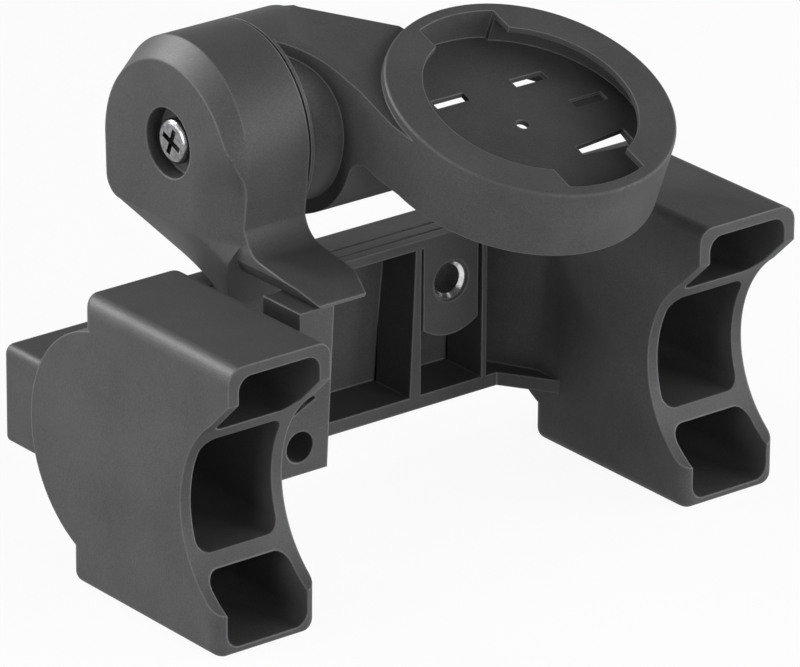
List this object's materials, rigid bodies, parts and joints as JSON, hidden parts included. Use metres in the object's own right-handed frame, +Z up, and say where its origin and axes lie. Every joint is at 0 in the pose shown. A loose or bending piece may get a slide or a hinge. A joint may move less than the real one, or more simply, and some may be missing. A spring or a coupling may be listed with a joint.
{
  "type": "bike computer handlebar mount",
  "caption": "Ribbed plastic bracket that saddles a handlebar with two blocks, with a riser and a tilting arm that ends in a quarter-turn cup for a cycle computer.",
  "frame": {"origin": "on the handlebar's axis, midway between the two saddle blocks", "axes": "+X along the handlebar to the side of the cup, -Y towards the rider, +Z up"},
  "size_m": [0.0944, 0.0578, 0.0692],
  "materials": {
    "bracket_plastic": "fine grained moulded",
    "riser_plastic": "fine grained moulded",
    "arm_plastic": "fine grained moulded",
    "screw_steel": "bright zinc plated",
    "insert_metal": "bright turned"
  },
  "bodies": {
    "base": {"bracket": "bracket_plastic", "riser": "riser_plastic", "riser_screw": "screw_steel", "threaded_inserts": "insert_metal"},
    "arm": {"arm_ring": "arm_plastic", "pivot_screw": "screw_steel", "pivot_nut": "screw_steel"}
  },
  "joints": [
    {"name": "arm_tilt", "type": "hinge", "parent": "base", "child": "arm", "pos_m": [-0.0146, 0.0457, 0.0354], "axis": [1, 0, 0], "range_deg": [-90, 8]}
  ]
}
